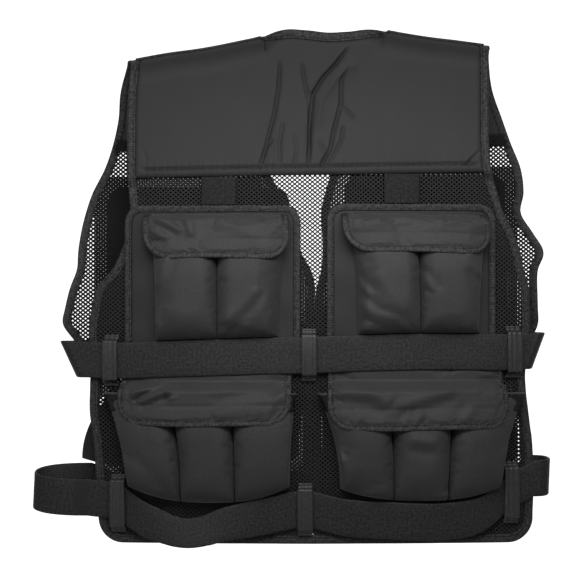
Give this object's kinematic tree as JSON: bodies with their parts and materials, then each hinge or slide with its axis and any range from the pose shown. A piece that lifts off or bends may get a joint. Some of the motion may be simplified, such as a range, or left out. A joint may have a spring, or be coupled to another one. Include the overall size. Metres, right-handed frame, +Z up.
{
  "type": "weighted vest",
  "caption": "Weighted training vest with a net body, padded yoke, flapped weight pockets and webbing belts, hanging by its shoulders",
  "frame": {"origin": "midway between the shoulders at the level of the neck, where the wearer's shoulders or a hanger carry the vest", "axes": "+Z up, -Y out of the back of the vest, +Y out of its front, +X to the right of somebody who looks at the back"},
  "size_m": [0.6285, 0.1787, 0.6331],
  "materials": {
    "nylon": "black woven nylon with a slight satin sheen",
    "net": "matte black knitted net with small holes",
    "binding": "matte black ribbed binding tape",
    "webbing": "matte black woven webbing",
    "hook_tape": "black hook and loop tape",
    "plastic": "moulded black plastic"
  },
  "bodies": {
    "root": {"back_panel": "net", "back_binding": "binding", "back_yoke": "nylon", "neck_binding": "binding", "front_panel_left": "net", "front_binding_left": "binding", "front_yoke_left": "nylon", "front_panel_right": "net", "front_binding_right": "binding", "front_yoke_right": "nylon", "shoulder_tape_left": "binding", "shoulder_tape_right": "binding", "back_strap_left": "webbing", "back_strap_right": "webbing", "back_left_backing": "nylon", "back_left_backing_binding": "binding", "back_right_backing": "nylon", "back_right_backing_binding": "binding", "front_left_backing": "nylon", "front_right_backing": "nylon", "back_upper_left_pocket": "nylon", "back_upper_left_flap": "nylon", "back_upper_left_flap_binding": "binding", "back_upper_right_pocket": "nylon", "back_upper_right_flap": "nylon", "back_upper_right_flap_binding": "binding", "back_lower_left_pocket": "nylon", "back_lower_left_hook_tape": "hook_tape", "back_lower_left_flap": "nylon", "back_lower_left_flap_binding": "binding", "back_lower_right_pocket": "nylon", "back_lower_right_hook_tape": "hook_tape", "back_lower_right_flap": "nylon", "back_lower_right_flap_binding": "binding", "front_upper_left_pocket": "nylon", "front_upper_left_flap": "nylon", "front_upper_right_pocket": "nylon", "front_upper_right_flap": "nylon", "front_lower_left_pocket": "nylon", "front_lower_left_flap": "nylon", "front_lower_right_pocket": "nylon", "front_lower_right_flap": "nylon", "upper_belt": "webbing", "lower_belt": "webbing", "upper_buckle": "plastic", "lower_buckle": "plastic", "back_upper_left_loop": "nylon", "back_upper_middle_loop": "nylon", "back_upper_right_loop": "nylon", "back_lower_left_loop": "nylon", "back_lower_middle_loop": "nylon", "back_lower_right_loop": "nylon", "front_upper_left_loop": "nylon", "front_upper_right_loop": "nylon"}
  },
  "joints": []
}
